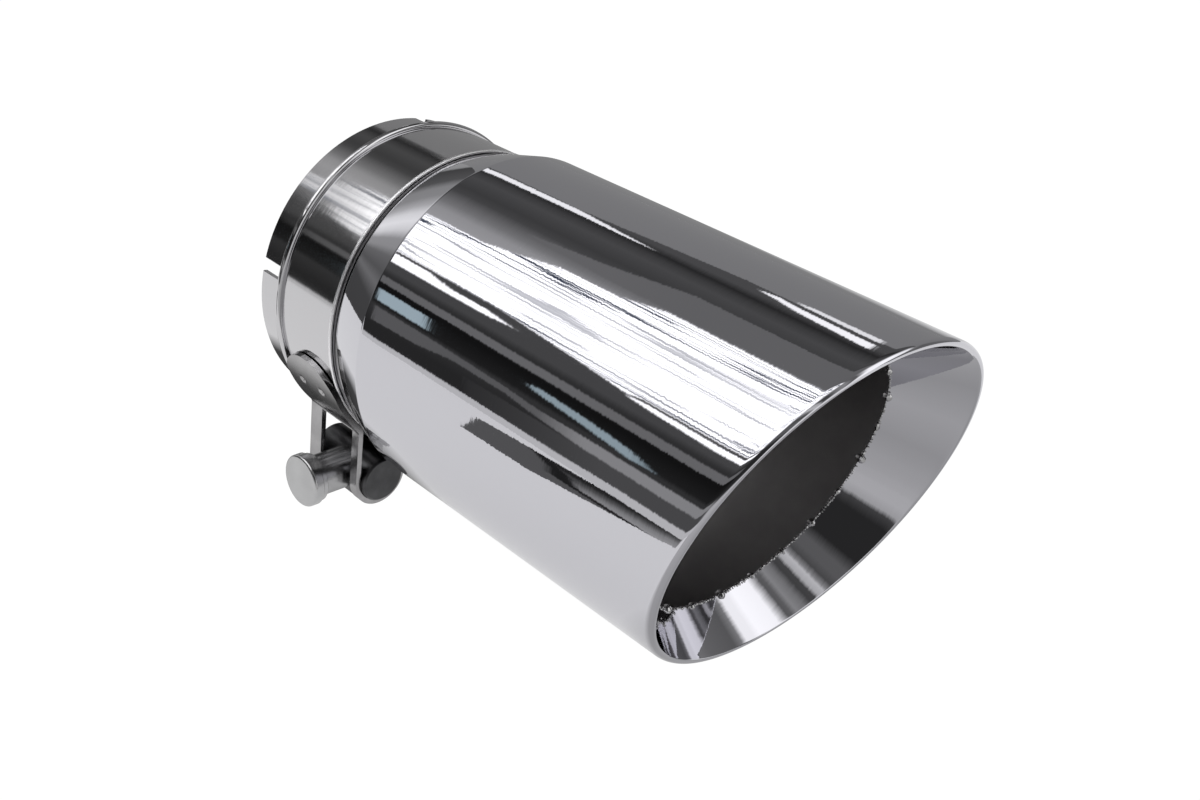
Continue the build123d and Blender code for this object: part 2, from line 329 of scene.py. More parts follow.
# On the shell the painted shade of the gap widens towards the clamp.
shell_finish = polished_metal("mirror_shell", (0.596, 0.592, 0.628), 0.003, 0.009, 0.018, 0.03, 0.03, 1.3)
sleeve_finish = polished_metal("polished_sleeve", BRIGHT, 0.004, 0.016, 0.003, 0.09, 0.05)
band_finish = polished_metal("polished_band", BRIGHT, 0.005, 0.03, 0.012, 0.08, 0.05)
hem_with_painted_highlight(band_finish)
print("polished:", ", ".join(finish.name for finish in (shell_finish, sleeve_finish, band_finish)))

# %% [markdown]
# The other pieces are satin, each in two greys that mix in cloudy patches. On the liner the seam group's mask
# mixes the greys instead: darker near the lip's weld and paler deeper in, as painted light and shade. One
# plain grey could do for pieces this small, but it would look like plastic.

# %% Satin metals
# The liner is painted darker near the lip's weld and paler deeper in: painted light and shade.
LINER_SHADE_PLACE = 0.165
LINER_SHADE_REACH = 0.062
LINER_SHADE_UNEVEN = 0.08


def satin_metal(name, dark, light, grain, patches, roughness, spread, painted_shade=False):
    """Satin metal in two greys that mix in cloudy patches, or, on the liner, along the tube as painted light
    and shade.
    """
    amounts = {"Grain": grain, "Patches": patches, "Roughness": roughness, "Spread": spread}
    material, tree, marks = start_material(name, satin, amounts)
    share = marks["Tone"]
    if painted_shade:
        uneven = result_of(tree, "MULTIPLY_ADD", share, LINER_SHADE_UNEVEN, 1.0 - LINER_SHADE_UNEVEN)
        share = result_of(tree, "MULTIPLY", uneven, seam_mask(tree, LINER_SHADE_PLACE, LINER_SHADE_REACH))
    mix_colors(tree, dark, light, share)
    return material


# The liner's first grey is painted light deeper in, the second painted shade near the weld.
greys = (0.67, 0.665, 0.665), (0.30, 0.289, 0.292)
liner_finish = satin_metal("liner_painted_shade", *greys, 0.002, 0.001, 0.36, 0.02, painted_shade=True)
greys = (0.32, 0.315, 0.32), (0.42, 0.415, 0.42)
strap_finish = satin_metal("stamped_steel", *greys, 0.005, 0.010, 0.20, 0.08)
greys = (0.44, 0.44, 0.445), (0.50, 0.50, 0.505)
hardware_finish = satin_metal("satin_hardware", *greys, 0.005, 0.008, 0.25, 0.08)
greys = (0.36, 0.36, 0.365), (0.44, 0.44, 0.445)
spacer_finish = satin_metal("turned_spacer", *greys, 0.003, 0.005, 0.25, 0.06)
greys = (0.06, 0.06, 0.062), (0.09, 0.09, 0.093)
pin_finish = satin_metal("dark_pin", *greys, 0.008, 0.012, 0.32, 0.12)
greys = (0.42, 0.415, 0.415), (0.66, 0.655, 0.66)
weld_finish = satin_metal("weld_bead", *greys, 0.006, 0.01, 0.13, 0.08)
print("materials:", ", ".join(material.name for material in bpy.data.materials if material.use_nodes))

# %% [markdown]
# ## Pieces
# Every piece goes through the same helpers. They join doubled points, turn all faces outwards, shade the
# faces smooth and keep an edge sharp only where the surface really turns a corner. A finished piece then
# stands for its CAD node.

# %% Helpers that make a piece
JOIN = 0.001 * MM
CREASE = math.radians(32)


def tidy_mesh(mesh, merge=JOIN, flat=None):
    """Joins doubled points, merges flat faces if asked, turns faces outwards and sets the shading."""
    work = bmesh.new()
    work.from_mesh(mesh)
    bmesh.ops.remove_doubles(work, verts=work.verts, dist=merge)
    if flat is not None:
        bmesh.ops.dissolve_limit(work, angle_limit=flat, verts=work.verts, edges=work.edges)
    bmesh.ops.recalc_face_normals(work, faces=work.faces)
    work.to_mesh(mesh)
    work.free()
    mesh.shade_smooth()
    mesh.set_sharp_from_angle(angle=CREASE)


def link_piece(name, mesh, material):
    """Gives a mesh its finish and links it as an object at the origin."""
    mesh.materials.clear()
    mesh.materials.append(material)
    piece = bpy.data.objects.new(name, mesh)
    bpy.context.scene.collection.objects.link(piece)
    print(name, len(mesh.polygons), "faces")
    return piece


def new_piece(name, points, faces, material):
    """A drawn piece, with its place in its points."""
    mesh = bpy.data.meshes.new(name)
    mesh.from_pydata([tuple(point) for point in points], [], faces)
    tidy_mesh(mesh)
    return link_piece(name, mesh, material)


def stand_for(piece, node, body):
    """The piece stands for a CAD node: it rides on its body, and the node is hidden."""
    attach(piece, body)
    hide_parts(node)


# %% [markdown]
# ## Outer shell
# On the real tip one sheet forms the shoulder, the body, the rolled rim and the lip that turns back inside.
# A lathe could spin it, but the slash cut leans, so each row of points carries a share: 0 keeps its station
# along the tube, and 1 follows the slanted cut. Rows in between blend the two, which keeps the faces even.
# The last number in a row is how far the cut leans there between its middle and its long side.

# %% Helpers that spin a leaning profile


def loop_faces(loops, size, closed=False):
    """Faces between loops of points, listed loop by loop. A closed run joins the last to the first."""
    faces = []
    for step in range(loops if closed else loops - 1):
        here, there = step * size, (step + 1) % loops * size
        for row in range(size):
            after = (row + 1) % size
            faces.append((here + row, here + after, there + after, there + row))
    return faces


def spin_profile(profile, around):
    """Points and faces of a closed profile of (radius, station, share, depth, lean) spun round the tube."""
    points = []
    for step in range(around):
        angle = 2 * math.pi * step / around
        for radius, station, share, depth, lean in profile:
            x = station * (1 - share) + share * (OUTLET - depth + lean * math.cos(angle - LONG_SIDE))
            points.append(round_tube(angle, radius, x))
    return points, loop_faces(around, len(profile), closed=True)


def cut_row(radius, depth, cut=CUT):
    """A row that lies on the slanted cut, at a depth behind it."""
    return (radius, 0.0, 1.0, depth, radius * math.tan(cut))


def body_rows(radius, station, depth, shares, cut=CUT):
    """Rows of a straight wall between a station and the slanted cut."""
    return [(radius, station, share, depth, radius * math.tan(cut)) for share in shares]


def between_rows(first, last, count):
    """Rows on straight lines from one row to another, without the first."""
    shares = [step / count for step in range(1, count + 1)]
    return [tuple(start + (end - start) * share for start, end in zip(first, last)) for share in shares]


# %% [markdown]
# The profile runs from the shoulder along the body to the rim, back inside along the lip, and returns
# behind it. The rim is a quarter of an ellipse and an arc: the body draws in slowly towards the cut, and
# turns tightly into the lip.

# %% Outer shell
AROUND = 288


def arc_points(middle_x, middle_y, radius, start, end, count):
    """Points along an arc in a plane, angles in degrees."""
    steps = [math.radians(start + (end - start) * step / count) for step in range(count + 1)]
    return [(middle_x + radius * math.cos(turn), middle_y + radius * math.sin(turn)) for turn in steps]


ROLL_LONG = 2.0 * MM
ROLL_WIDE = 1.15 * MM
RIM_EDGE = 0.9 * MM
RIM_BACK = 0.22 * MM
RIM_TOP = SHELL - ROLL_WIDE
POCKET = 3.2 * MM
POCKET_BORE = 48.0 * MM
EDGE = 0.35 * MM
ROUND = 4.0 * MM
LIP_SLOPE = math.atan((RIM_TOP - RIM_EDGE - LIP_BORE) / LIP_DEPTH)
shoulder = arc_points(SHOULDER_START + EDGE, SLEEVE + SEAT + EDGE, EDGE, 270, 105, 8)
cone = math.atan2(SHELL - shoulder[-1][1], BODY_START - shoulder[-1][0])
corner_x = BODY_START + ROUND * math.tan(cone / 2)
corner = arc_points(corner_x, SHELL - ROUND, ROUND, 90 + math.degrees(cone), 90, 6)
profile = [(y, x, 0.0, 0.0, 0.0) for x, y in shoulder + corner]
profile += body_rows(SHELL, corner[-1][0], RIM_BACK + ROLL_LONG, [step / 20 for step in range(1, 20)])
roll = arc_points(0.0, 0.0, 1.0, 90, 180, 16)
profile += [cut_row(RIM_TOP + ROLL_WIDE * y, RIM_BACK + ROLL_LONG * (1 + x)) for x, y in roll]
edge = arc_points(RIM_BACK + RIM_EDGE, RIM_TOP, RIM_EDGE, 180, 270 - math.degrees(LIP_SLOPE), 10)
profile += [cut_row(y, depth) for depth, y in edge[1:]]
profile += between_rows(profile[-1], cut_row(LIP_BORE, LIP_DEPTH, LIP_CUT), 14)
profile.append(cut_row(LIP_BORE + WALL, LIP_DEPTH, LIP_CUT))
profile += [cut_row(POCKET_BORE, POCKET), cut_row(SHELL - WALL, POCKET)]
profile += body_rows(SHELL - WALL, BODY_START, POCKET, [0.66, 0.33, 0.0])
points, faces = spin_profile(profile, AROUND)
shell = new_piece("shell_skin", points, faces, shell_finish)
stand_for(shell, "outer_shell", "tip")

# %% [markdown]
# ## Inner tube
# The liner carries the gas from the tail pipe's end to the lip. It is the same kind of spun profile: two
# walls that taper from the sleeve to the lip, cut off along the slanted plane just behind the lip. A Screw
# modifier could spin it, but here too the end leans.

# %% Inner tube
LINER_START = 50.15 * MM
TAPER_START = 64.0 * MM
TAPER_END = 114.0 * MM
LINER_END = LIP_DEPTH + SEAT
LINER_AROUND = 192


def liner_wall(inset):
    """Rows of one wall of the liner, from the inlet's side to the lip."""
    start = [(LINER - inset, x, 0.0, 0.0, 0.0) for x in (LINER_START, TAPER_START)]
    narrow = LIP_BORE + LINER_WALL - inset
    taper = between_rows(start[-1], (narrow, TAPER_END, 0.0, 0.0, 0.0), 10)
    shares = [step / 12 for step in range(1, 13)]
    return start + taper + body_rows(narrow, TAPER_END, LINER_END, shares, LIP_CUT)


points, faces = spin_profile(liner_wall(0.0) + liner_wall(LINER_WALL)[::-1], LINER_AROUND)
liner = new_piece("liner_skin", points, faces, liner_finish)
stand_for(liner, "inner_tube", "tip")

# %% [markdown]
# ## Inlet sleeve
# The inlet is sawn open by slots with round ends, so that the clamp can close it. The shape repeats round
# the tube, so one sector with one slot is drawn, and a Geometry Nodes tree copies it round the axis. First
# a helper gives any sheet its thickness: an outer skin, an inner skin, and walls along open edges. A Boolean
# could cut the slots, but it leaves long uneven faces, which show in polished metal.

# %% A sheet with a thickness


def thick_sheet(outer, inner, quads, is_seam=None):
    """Closes a sheet of quads that has outer and inner points. Edges on a seam stay open."""
    count = len(outer)
    faces = []
    edges = {}
    for quad in quads:
        faces.append(tuple(quad))
        faces.append(tuple(count + corner for corner in reversed(quad)))
        for first, second in zip(quad, quad[1:] + quad[:1]):
            edges.setdefault(frozenset((first, second)), []).append((first, second))
    for uses in edges.values():
        first, second = uses[0]
        if len(uses) == 1 and not (is_seam and is_seam(first) and is_seam(second)):
            faces.append((second, first, count + first, count + second))
    return list(outer) + list(inner), faces


# %% [markdown]
# The sector is drawn in columns of points along the tube. Beside the slot a column starts at the mouth, and
# over the slot it starts at the slot's round end.

# %% Columns of the sector
SLOTS = 4
SLOT_HALF = 1.9 * MM
SLOT_STRAIGHT = 28.1 * MM
half_sector = math.pi / SLOTS
slot_edge = SLOT_HALF / SLEEVE
side_turns = [slot_edge + (half_sector - slot_edge) * (step / 18) for step in range(19)]
slot_turns = [math.radians(-90 + 180 * step / 12) for step in range(13)]
columns = [(-turn, SLOT_STRAIGHT, True) for turn in reversed(side_turns)]
for turn in slot_turns[1:-1]:
    columns.append((slot_edge * math.sin(turn), SLOT_STRAIGHT + SLOT_HALF * math.cos(turn), False))
columns += [(turn, SLOT_STRAIGHT, True) for turn in side_turns]
print("sector of the sleeve:", len(columns), "columns")

# %% [markdown]
# Each column gets rows of points, outside and in the bore. A step in the bore stops the tail pipe. Four
# neighbours make a face, and the sector's two sides stay open, because the next sector joins them there.

# %% One sector of the sleeve
STOP = 50.0 * MM
SLEEVE_END = 64.0 * MM
STOP_STEP = 0.6 * MM
STOP_LEAN = 0.02 * MM
MOUTH_ROWS = 6
sleeve_points = {}
outer, inner = [], []


def sleeve_point(column, row, turn, x, bore):
    sleeve_points[column, row] = len(outer)
    outer.append(round_tube(turn, SLEEVE, x))
    inner.append(round_tube(turn, bore, x))


for column, (turn, start, reaches_mouth) in enumerate(columns):
    if reaches_mouth:
        for row in range(MOUTH_ROWS):
            sleeve_point(column, row - MOUTH_ROWS, turn, start * row / MOUTH_ROWS, SLEEVE_BORE)
    for row in range(9):
        sleeve_point(column, row, turn, start + (STOP - start) * row / 8, SLEEVE_BORE)
    for row in range(3):
        x = STOP + STOP_LEAN + (SLEEVE_END - STOP) * row / 2
        sleeve_point(column, 9 + row, turn, min(x, SLEEVE_END), SLEEVE_BORE + STOP_STEP)
quads = []
for column, row in sleeve_points:
    corners = [(column, row), (column, row + 1), (column + 1, row + 1), (column + 1, row)]
    if all(corner in sleeve_points for corner in corners):
        quads.append([sleeve_points[corner] for corner in corners])
seam = {sleeve_points[key] for key in sleeve_points if key[0] in (0, len(columns) - 1)}
points, faces = thick_sheet(outer, inner, quads, lambda point: point in seam)
sector_mesh = bpy.data.meshes.new("sleeve_sector")
sector_mesh.from_pydata([tuple(point) for point in points], [], faces)
print("sector of the sleeve:", len(faces), "faces")

# %% [markdown]
# A Geometry Nodes tree is built like a material, from nodes, links and named inputs. Three helpers serve
# every tree here: they start it, end it, and run it on a mesh to get a plain piece.

# %% Helpers for Geometry Nodes


def new_tree(name, inputs):
    """A Geometry Nodes tree with a geometry input and named inputs for its sizes."""
    tree = bpy.data.node_groups.new(name, "GeometryNodeTree")
    tree.interface.new_socket(name="Geometry", in_out="INPUT", socket_type="NodeSocketGeometry")
    for title, kind in inputs.items():
        tree.interface.new_socket(name=title, in_out="INPUT", socket_type="NodeSocket" + kind)
    tree.interface.new_socket(name="Geometry", in_out="OUTPUT", socket_type="NodeSocketGeometry")
    add_node(tree, "NodeGroupInput", name="given")
    add_node(tree, "NodeGroupOutput", name="result")
    return tree


def end_tree(tree, geometry, material):
    """Every tree ends in Realize Instances and Set Material, because an export drops instances."""
    real = add_node(tree, "GeometryNodeRealizeInstances", {"Geometry": geometry}).outputs["Geometry"]
    finish = add_node(tree, "GeometryNodeSetMaterial", {"Geometry": real, "Material": material})
    feed(tree, tree.nodes["result"], {"Geometry": finish.outputs["Geometry"]})


def run_tree(tree, mesh, values, material, name):
    """Runs a tree on a mesh and returns a plain piece, with no modifier left on it."""
    holder = bpy.data.objects.new(name + "_source", mesh)
    bpy.context.scene.collection.objects.link(holder)
    modifier = holder.modifiers.new("tree", "NODES")
    modifier.node_group = tree
    for item in tree.interface.items_tree:
        if item.item_type == "SOCKET" and item.in_out == "INPUT" and item.name in values:
            modifier[item.identifier] = values[item.name]
    bpy.context.view_layer.update()
    evaluated = holder.evaluated_get(bpy.context.evaluated_depsgraph_get())
    made = bpy.data.meshes.new_from_object(evaluated)
    holder.modifiers.remove(modifier)
    bpy.data.objects.remove(holder)
    made.name = name
    tidy_mesh(made)
    return link_piece(name, made, material)


# %% [markdown]
# The tree takes the sector as its own geometry. It makes one point for each slot, puts a copy on each
# point, turns each copy a further step about X, and realizes the copies. Their seams join when the piece is
# made. A small bevel then breaks the sleeve's sharp edges.

# %% Geometry Nodes: repeat the sector
BEVEL_FROM = math.radians(40)
SLOT_ANGLE = math.radians(22)
SLEEVE_BEVEL = 0.2 * MM


def round_edges(piece, width, segments=2):
    """Breaks sharp corners with a small live bevel, so that they catch the light."""
    bevel = piece.modifiers.new("broken_edges", "BEVEL")
    bevel.width = width
    bevel.segments = segments
    bevel.limit_method = "ANGLE"
    bevel.angle_limit = BEVEL_FROM
    bevel.harden_normals = True


ring = new_tree("slots_round_the_sleeve", {"Slots": "Int", "First Turn": "Float"})
given = ring.nodes["given"].outputs
places = add_node(ring, "GeometryNodePoints", {"Count": given["Slots"]}).outputs["Points"]
index = add_node(ring, "GeometryNodeInputIndex").outputs["Index"]
per_slot = result_of(ring, "DIVIDE", -2 * math.pi, given["Slots"])
turn = result_of(ring, "MULTIPLY_ADD", index, per_slot, given["First Turn"])
axis_turn = add_node(ring, "ShaderNodeCombineXYZ", {"X": turn}).outputs["Vector"]
copying = {"Points": places, "Instance": given["Geometry"], "Rotation": axis_turn}
copies = add_node(ring, "GeometryNodeInstanceOnPoints", copying)
end_tree(ring, copies.outputs["Instances"], sleeve_finish)
values = {"Slots": SLOTS, "First Turn": -SLOT_ANGLE}
sleeve = run_tree(ring, sector_mesh, values, sleeve_finish, "sleeve_skin")
round_edges(sleeve, SLEEVE_BEVEL)
stand_for(sleeve, "inlet_sleeve", "tip")

# %% [markdown]
# ## Clamp band
# The band is thin strip whose two edges are rolled over into hems: a round one at the back and a slim one
# at the front. Its outline is a closed loop of two arcs and two straights, swept round the tube from one
# side of the gap under the bolt to the other, and capped at both ends. A curve with a bevel could do this,
# but drawn loops put both hems exactly where they belong.

# %% Clamp band
BAND_BORE = 46.3 * MM
BAND = 47.0 * MM
BAND_START = 9.7 * MM
BAND_END = 35.1 * MM
REAR_HEM = 1.0 * MM
FRONT_HEM = 0.45 * MM
GAP_HALF = 13.0 * MM
BAND_STEPS = 220
rear_meets = -math.degrees(math.asin((BAND_BORE + REAR_HEM - BAND) / REAR_HEM))
front_meets = 180 - math.degrees(math.asin((BAND - BAND_BORE - FRONT_HEM) / FRONT_HEM))
outline = arc_points(BAND_START + REAR_HEM, BAND_BORE + REAR_HEM, REAR_HEM, 270, rear_meets, 26)
flat_from = outline[-1][0]
flat = [flat_from + (BAND_END - 2 * FRONT_HEM - flat_from) * step / 8 for step in range(1, 8)]
outline += [(x, BAND) for x in flat]
outline += arc_points(BAND_END - FRONT_HEM, BAND_BORE + FRONT_HEM, FRONT_HEM, front_meets, -90, 12)
outline += [(BAND_END - FRONT_HEM - (BAND_END - BAND_START) * step / 6, BAND_BORE) for step in range(1, 6)]
gap_turn = math.asin(GAP_HALF / BAND)
points = []
for step in range(BAND_STEPS + 1):
    angle = CLAMP_ANGLE + gap_turn + (2 * math.pi - 2 * gap_turn) * step / BAND_STEPS
    points += [round_tube(angle, radius, x) for x, radius in outline]
size = len(outline)
faces = loop_faces(BAND_STEPS + 1, size)
faces += [tuple(range(size)), tuple(BAND_STEPS * size + row for row in range(size))]
band = new_piece("band_skin", points, faces, band_finish)
stand_for(band, "clamp_band", "tip")

# %% [markdown]
# ## Straps
# Each strap is one stamped strip: a round-ended tab lies on the band, a leg runs out, the strip turns round
# the cross pin, comes back and ends in a foot. The path is drawn once, as points with their outward
# normals. A curve with a flat profile could follow the path too, but its windows would still have to be
# cut.

# %% Helpers for the strap's path
STRAP_RADIUS = 48.15 * MM
STRAP_BEND = 2.4 * MM
STRAP_STEP = 0.45 * MM


def arc_run(middle, radius, start, end, outward):
    """Path points and normals along an arc. Outward is 1 where the strip faces away from its middle."""
    count = max(4, round(abs(end - start) * radius / STRAP_STEP))
    run = []
    for step in range(count + 1):
        turn = start + (end - start) * step / count
        normal = Vector((math.cos(turn), math.sin(turn)))
        run.append((Vector(middle) + normal * radius, normal * outward))
    return run


def straight_run(first, last, normal):
    count = max(2, round((Vector(last) - Vector(first)).length / STRAP_STEP))
    return [(Vector(first).lerp(Vector(last), step / count), Vector(normal)) for step in range(count + 1)]


def bend_place(leg):
    """Middle of the bend that joins the band's circle to a straight leg."""
    return Vector((leg + STRAP_BEND, math.sqrt((STRAP_RADIUS + STRAP_BEND) ** 2 - (leg + STRAP_BEND) ** 2)))


# %% [markdown]
# Seen along the tube, the path is made of arcs and straights that meet without a corner. The lengths along
# it are kept, because the tab's round end and its welds are measured from the path's start.

# %% Strap path
STRAP_TAB = 25.3 * MM
STRAP_FOOT = 9.0 * MM
PIN_PLACE = 26.9 * MM
WRAP = 8.2 * MM
outer_leg, inner_leg = PIN_PLACE + WRAP, PIN_PLACE - WRAP
outer_bend, inner_bend = bend_place(outer_leg), bend_place(inner_leg)
outer_turn = math.atan2(outer_bend.y, outer_bend.x)
inner_turn = math.atan2(inner_bend.y, inner_bend.x)
root_turn = math.acos(outer_leg / STRAP_RADIUS)
foot_turn = math.acos(inner_leg / STRAP_RADIUS) - STRAP_FOOT / STRAP_RADIUS
pin = (PIN_PLACE, BOLT_HEIGHT)
path = arc_run((0, 0), STRAP_RADIUS, root_turn - STRAP_TAB / STRAP_RADIUS, outer_turn, 1)
path += arc_run(outer_bend, STRAP_BEND, outer_turn + math.pi, math.pi, -1)[1:]
path += straight_run((outer_leg, outer_bend.y), (outer_leg, BOLT_HEIGHT), (1, 0))[1:]
path += arc_run(pin, WRAP, 0, math.pi, 1)[1:]
path += straight_run((inner_leg, BOLT_HEIGHT), (inner_leg, inner_bend.y), (-1, 0))[1:]
path += arc_run(inner_bend, STRAP_BEND, math.pi, inner_turn + math.pi, -1)[1:]
path += arc_run((0, 0), STRAP_RADIUS, inner_turn, foot_turn, -1)[1:]
lengths = [0.0]
for (before, _), (after, _) in zip(path, path[1:]):
    lengths.append(lengths[-1] + (after - before).length)
print("strap path", len(path), "points,", round(lengths[-1] / MM, 1), "mm long")

# %% [markdown]
# Across the path the strip has even steps, which break at the edges of the windows. The tab's points draw
# in towards its round end.

# %% Across the strap
STRAP_HALF = 11.8 * MM
STRAP_MIDDLE = 23.8 * MM
WINDOW_REAR = 6.9 * MM
WINDOW_FRONT = 8.2 * MM
WINDOW_TOP = 58.5 * MM
BOLT_HOLE = 4.6 * MM
TAB_ROUND = 0.52 * 2 * STRAP_HALF


def even_steps(first, last):
    count = max(2, round((last - first) / STRAP_STEP))
    return [first + (last - first) * step / count for step in range(count + 1)]


breaks = [STRAP_MIDDLE - STRAP_HALF]
breaks += [BOLT_STATION + reach for reach in (-WINDOW_REAR, -BOLT_HOLE, BOLT_HOLE, WINDOW_FRONT)]
breaks.append(STRAP_MIDDLE + STRAP_HALF)
stations = [breaks[0]]
for first, last in zip(breaks, breaks[1:]):
    stations += even_steps(first, last)[1:]


def half_width(length):
    """Half of the strip's width at a length from the tab's end."""
    if length > TAB_ROUND:
        return STRAP_HALF
    reach = STRAP_RADIUS * math.sin((TAB_ROUND - length) / STRAP_RADIUS)
    return min(STRAP_HALF, math.sqrt(TAB_ROUND**2 - reach**2))


def in_window(place, x):
    """The outer leg has a wide window for the spacer, the inner leg a small one for the bolt."""
    across = x - BOLT_STATION
    if place.x > PIN_PLACE:
        return outer_bend.y < place.y < WINDOW_TOP and -WINDOW_REAR < across < WINDOW_FRONT
    return abs(place.y - BOLT_HEIGHT) < BOLT_HOLE and abs(across) < BOLT_HOLE


print("strap:", len(stations), "points across")

# %% [markdown]
# The strip is laid along the path, once for each end of the clamp. Faces inside the windows are left out,
# and two small dents mark the spot welds on the tab.

# %% Straps
STRAP_WALL = 1.6 * MM
STRAP_BEVEL = 0.3 * MM
WELD_IN = 10.0 * MM
WELD_APART = 4.6 * MM
WELD_RADIUS = 1.3 * MM
WELD_DENT = 1.1 * MM


def weld_dent(length, x):
    depth = 0.0
    for side in (-1, 1):
        away = math.hypot(length - WELD_IN, x - STRAP_MIDDLE - side * WELD_APART) / WELD_RADIUS
        if away < 1:
            depth = WELD_DENT * (1 - away)
    return depth


def strap_skin(name, side):
    """A strap on the nut's side (1) or the bolt head's side (-1) of the clamp."""
    outer, inner, quads = [], [], []
    for (place, normal), length in zip(path, lengths):
        for station in stations:
            x = STRAP_MIDDLE + (station - STRAP_MIDDLE) * half_width(length) / STRAP_HALF
            for skin, offset in ((outer, STRAP_WALL / 2 - weld_dent(length, x)), (inner, -STRAP_WALL / 2)):
                spot = place + normal * offset
                skin.append(CLAMP_ALONG * spot.x * side + CLAMP_OUT * spot.y + Vector((x, 0, 0)))
    wide = len(stations)
    for row in range(len(path) - 1):
        middle = (path[row][0] + path[row + 1][0]) / 2
        for column in range(wide - 1):
            if not in_window(middle, (stations[column] + stations[column + 1]) / 2):
                first = row * wide + column
                quads.append([first, first + 1, first + wide + 1, first + wide])
    points, faces = thick_sheet(outer, inner, quads)
    return new_piece(name, points, faces, strap_finish)


for end, side in (("nut", 1), ("head", -1)):
    strap = strap_skin(end + "_strap_skin", side)
    round_edges(strap, STRAP_BEVEL, 3)
    stand_for(strap, end + "_strap", "tip")

# %% [markdown]
# ## Turned hardware
# Pins, spacers, washers and nut already have the right shapes in CAD. Their meshes are loose triangles, so
# a copy of each is joined up, flat faces are merged into one, and a small bevel breaks the edges. The copy
# stands for its node, and the CAD mesh itself stays as it is. Drawing them again would gain nothing.

# %% Pins, spacers, washers and nut
CAD_JOIN = 0.002 * MM
FLAT = math.radians(0.5)
SMALL_BEVEL = 0.15 * MM
WASHER_BEVEL = 0.2 * MM


def dressed_copy(node, material, bevel, body):
    """A joined-up copy of a CAD node's mesh, with flat areas merged and edges broken, stands for the node."""
    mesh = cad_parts[node].data.copy()
    mesh.name = node + "_skin"
    tidy_mesh(mesh, CAD_JOIN, FLAT)
    piece = link_piece(mesh.name, mesh, material)
    round_edges(piece, bevel)
    stand_for(piece, node, body)


turned_kinds = [
    ("trunnion", pin_finish, SMALL_BEVEL, "dark_pin_steel"),
    ("spacer", spacer_finish, SMALL_BEVEL, "satin_hardware"),
    ("washer", hardware_finish, WASHER_BEVEL, "satin_hardware"),
]
for end in ("nut", "head"):
    for kind, finish, bevel, slot in turned_kinds:
        dressed_copy(end + "_" + kind, finish, bevel, "tip")
dressed_copy("clamp_nut", hardware_finish, SMALL_BEVEL, "nut")

# %% [markdown]
# ## Bolt
# The bolt is turned: a plain round head with a soft edge, a shank, and a threaded end. A profile spun round
# the bolt's own axis gives the solid, a little thinner where the thread will be. The CAD bolt could be
# kept, but its smooth end leaves no room for a thread.

# %% Bolt
bolt_frame = Matrix((
    (1, 0, 0, BOLT_STATION),
    (0, CLAMP_OUT.y, CLAMP_ALONG.y, CLAMP_OUT.y * BOLT_HEIGHT),
    (0, CLAMP_OUT.z, CLAMP_ALONG.z, CLAMP_OUT.z * BOLT_HEIGHT),
    (0, 0, 0, 1),
))
HEAD_FACE = -47.8 * MM
HEAD_BACK = -44.6 * MM
HEAD = 8.1 * MM
HEAD_EDGE = 0.8 * MM
BACK_EDGE = 0.3 * MM
BOLT = 4.0 * MM
THREAD_FROM = -14.0 * MM
BOLT_END = 54.8 * MM
THREAD_ROOT = 3.45 * MM
RUN_OUT = 0.6 * MM
BOLT_POINT = 1.0 * MM
BOLT_AROUND = 96
FACE_ROWS = (0.0, 3.0 * MM, 6.0 * MM)
POINT_ROWS = [(0.6 * MM, 0.1 * MM), (0.8 * MM, 0.0), (THREAD_ROOT, 0.0)]
turned = [(radius, HEAD_FACE) for radius in FACE_ROWS]
soft_edge = arc_points(HEAD_FACE + HEAD_EDGE, HEAD - HEAD_EDGE, HEAD_EDGE, 180, 90, 8)
turned += [(radius, along) for along, radius in soft_edge]
turned += [(HEAD, HEAD_BACK - BACK_EDGE), (HEAD - BACK_EDGE, HEAD_BACK)]
turned += [(BOLT, HEAD_BACK), (BOLT, THREAD_FROM - RUN_OUT)]
turned += [(THREAD_ROOT, THREAD_FROM), (THREAD_ROOT, BOLT_END - BOLT_POINT)]
turned += [(THREAD_ROOT - inset, BOLT_END - back) for inset, back in POINT_ROWS]
points, faces = [], []
for step in range(BOLT_AROUND):
    turn = 2 * math.pi * step / BOLT_AROUND
    across, upward = math.cos(turn), math.sin(turn)
    points += [bolt_frame @ Vector((radius * across, radius * upward, along)) for radius, along in turned]
size = len(turned)
for step in range(BOLT_AROUND):
    here, there = step * size, (step + 1) % BOLT_AROUND * size
    for row in range(size - 1):
        if row == 0:
            faces.append((0, here + 1, there + 1))
        elif row == size - 2:
            faces.append((here + row, size - 1, there + row))
        else:
            faces.append((here + row, here + row + 1, there + row + 1, there + row))
bolt = new_piece("bolt_skin", points, faces, hardware_finish)
stand_for(bolt, "clamp_bolt", "tip")

# %% [markdown]
# A thread follows a rule, so Geometry Nodes draws it: a spiral curve with the thread's pitch carries a
# small round profile. It winds on the bolt's thinner end and stays inside the bolt's full diameter, so the
# nut can turn round it. A Screw modifier could wind it as well, but a tree has its pitch and length as
# named inputs.

